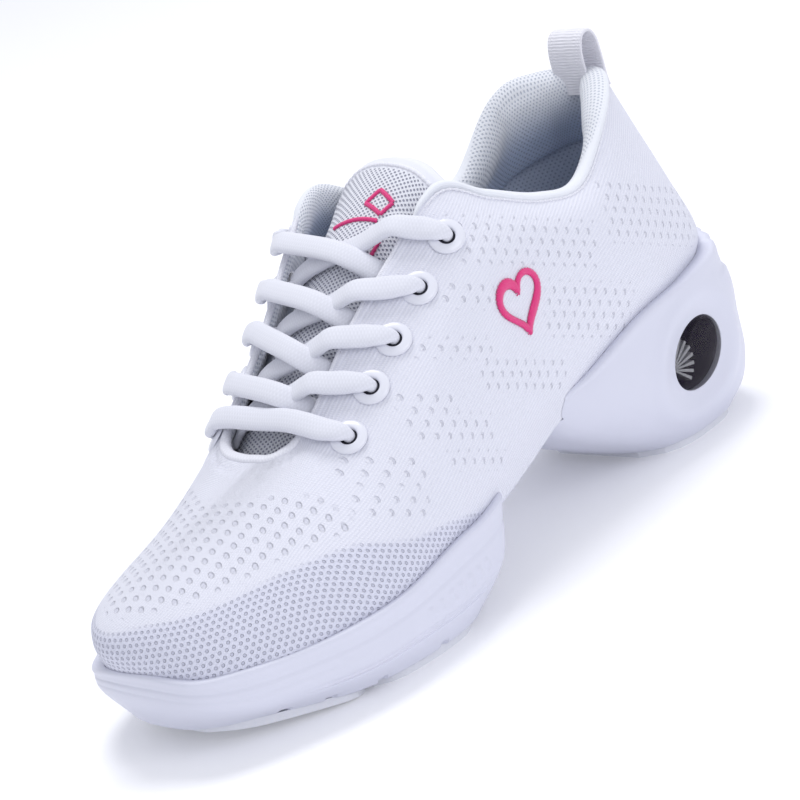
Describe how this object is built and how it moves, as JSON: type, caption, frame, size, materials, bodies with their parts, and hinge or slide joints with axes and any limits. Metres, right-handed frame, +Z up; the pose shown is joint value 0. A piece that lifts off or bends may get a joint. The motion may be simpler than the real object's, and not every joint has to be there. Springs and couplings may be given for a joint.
{
  "type": "cheer shoe",
  "caption": "White laced split-sole dance and cheer sneaker with a knit upper, raised heel unit with oval window, mesh tongue and heel pull tab.",
  "frame": {"origin": "centre of the shoe's footprint box on the floor it stands on", "axes": "+Z up, -Y towards the toe, +X towards the outer side of this left shoe"},
  "size_m": [0.0964, 0.2668, 0.1315],
  "materials": {
    "foam_sole": "satin moulded foam",
    "rubber_sole": "matt moulded rubber",
    "knit": "fine ribbed knit",
    "mesh": "open sandwich mesh",
    "lining": "smooth lining cloth",
    "stiffener": "fibre board and stiffener sheet",
    "insole_foam": "cloth covered foam",
    "washer_plastic": "translucent washer",
    "webbing": "woven webbing",
    "smoke_window": "smoky clear plastic",
    "silver_plastic": "silver coated plastic",
    "pink_thread": "embroidery thread"
  },
  "bodies": {
    "forefoot": {"forefoot_midsole": "foam_sole", "forefoot_tread": "rubber_sole", "toe_tread": "rubber_sole", "upper_front": "knit", "toe_puff": "stiffener", "vamp_lining": "lining", "eyestay_lateral": "stiffener", "eyestay_medial": "stiffener", "throat_binding": "knit", "strobel_board_front": "stiffener", "eyelet_lateral_1": "washer_plastic", "eyelet_lateral_2": "washer_plastic", "eyelet_lateral_3": "washer_plastic", "eyelet_lateral_4": "washer_plastic", "eyelet_lateral_5": "washer_plastic", "eyelet_medial_1": "washer_plastic", "eyelet_medial_2": "washer_plastic", "eyelet_medial_3": "washer_plastic", "eyelet_medial_4": "washer_plastic", "eyelet_medial_5": "washer_plastic", "lace": "webbing", "tongue_lower": "mesh", "waist_band": "knit", "insole": "insole_foam"},
    "rearfoot": {"heel_midsole": "foam_sole", "heel_tread": "rubber_sole", "cushion_lens_lateral": "smoke_window", "cushion_lens_medial": "smoke_window", "cushion_core": "silver_plastic", "upper_rear": "knit", "heel_counter": "stiffener", "heel_lining": "lining", "strobel_board_rear": "stiffener", "collar_padding": "mesh", "collar_piping": "knit", "heart_stitch": "pink_thread", "pull_tab_anchor": "knit"},
    "tongue_flap": {"tongue_tip": "mesh", "tongue_bar": "pink_thread", "tongue_diamond": "pink_thread"},
    "pull_loop": {"pull_tab": "webbing"}
  },
  "joints": [
    {"name": "arch_flex", "type": "hinge", "parent": "forefoot", "child": "rearfoot", "pos_m": [0, 0.00847, 0.033], "axis": [1, 0, 0], "range_deg": [-20, 5], "stiffness_Nm_per_rad": 3, "deforming": ["waist_band", "insole"]},
    {"name": "tongue_fold", "type": "hinge", "parent": "forefoot", "child": "tongue_flap", "pos_m": [-0.00434, 0.01527, 0.1166], "axis": [1, 0, 0], "range_deg": [-10, 50], "stiffness_Nm_per_rad": 0.003},
    {"name": "pull_tab_tilt", "type": "hinge", "parent": "rearfoot", "child": "pull_loop", "pos_m": [-0.00434, 0.11307, 0.1194], "axis": [1, 0, 0], "range_deg": [-25, 25], "stiffness_Nm_per_rad": 0.003}
  ]
}
